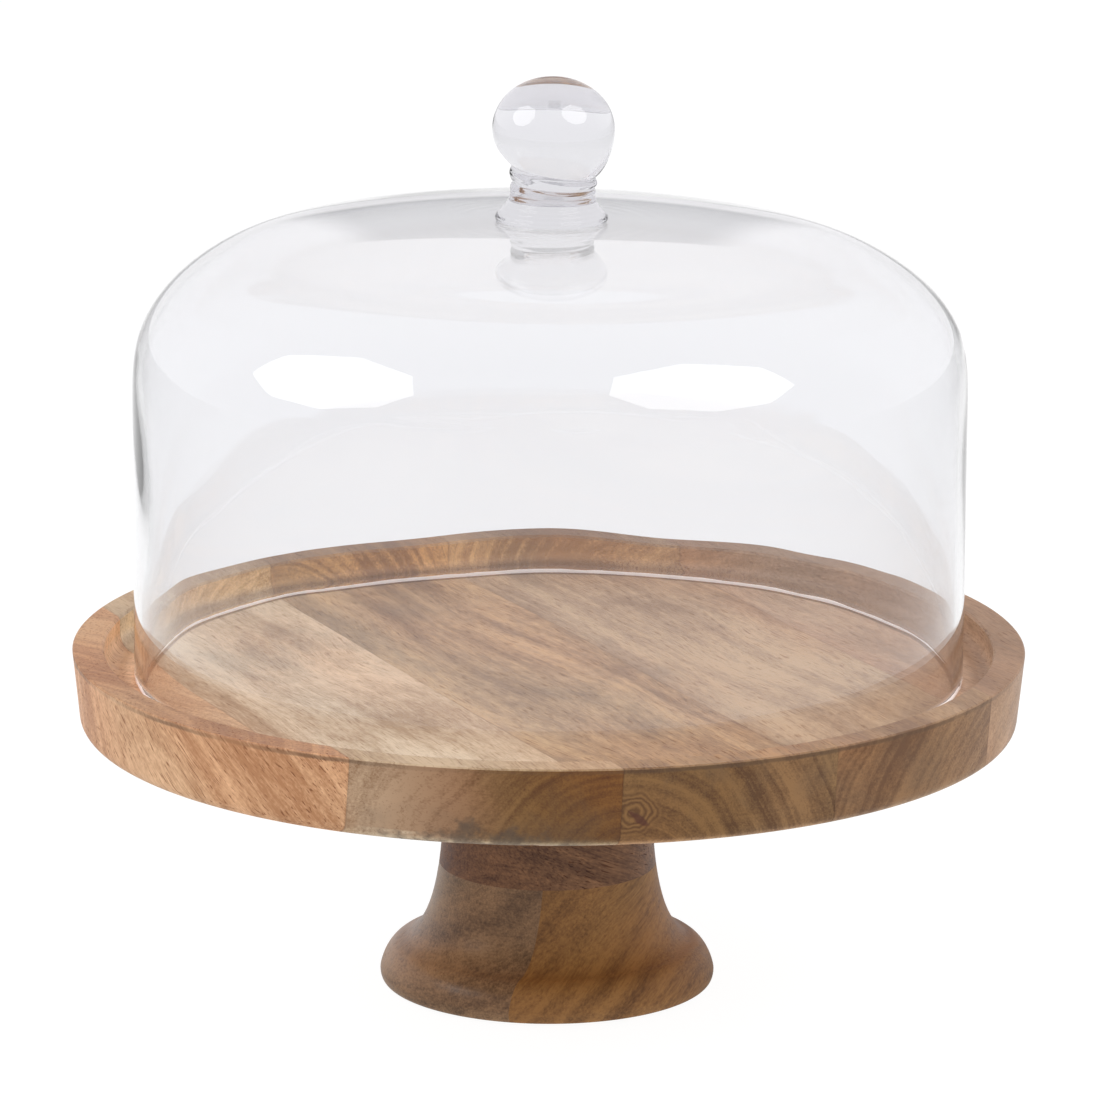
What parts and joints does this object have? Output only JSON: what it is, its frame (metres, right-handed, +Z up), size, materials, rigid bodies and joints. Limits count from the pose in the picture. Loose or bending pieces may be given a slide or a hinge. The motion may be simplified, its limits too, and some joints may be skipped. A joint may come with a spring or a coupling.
{
  "type": "cake dome on pedestal stand",
  "caption": "Clear glass cake dome with a solid ball knob, standing inside the raised rim of a turned wooden pedestal cake stand.",
  "frame": {"origin": "on the surface that the stand rests on, on the common axis of pedestal, tray and dome", "axes": "+Z up along the axis of the turning, out through the knob; +X to the right and +Y to the back, seen from the front"},
  "size_m": [0.33, 0.33, 0.321],
  "materials": {
    "mango_tray_board_1": "oiled, low sheen",
    "mango_tray_board_2": "oiled, low sheen",
    "mango_tray_board_3": "oiled, low sheen",
    "mango_tray_board_4": "oiled, low sheen",
    "mango_tray_board_5": "oiled, low sheen",
    "dark_collar_wood": "oiled, low sheen",
    "foot_dark_wood": "oiled, low sheen",
    "foot_golden_wood": "oiled, low sheen",
    "zinc_steel": "zinc plated",
    "insert_brass": "plain turned",
    "felt": "pressed felt",
    "dome_glass": "clear, fire polished",
    "knob_glass": "clear, fire polished"
  },
  "bodies": {
    "stand": {"tray_board_1": "mango_tray_board_1", "tray_board_2": "mango_tray_board_2", "tray_board_3": "mango_tray_board_3", "tray_board_4": "mango_tray_board_4", "tray_board_5": "mango_tray_board_5", "collar": "dark_collar_wood", "foot_main_block": "foot_dark_wood", "foot_side_block": "foot_golden_wood", "centre_bolt": "zinc_steel", "bolt_washer": "zinc_steel", "threaded_insert": "insert_brass", "felt_pad_1": "felt", "felt_pad_2": "felt", "felt_pad_3": "felt", "felt_pad_4": "felt"},
    "dome": {"dome_shell": "dome_glass", "knob_neck": "knob_glass", "knob_ball": "knob_glass"}
  },
  "joints": [
    {"name": "dome_lift", "type": "slide", "parent": "stand", "child": "dome", "axis": [0, 0, 1], "range_m": [0, 0.22]}
  ]
}
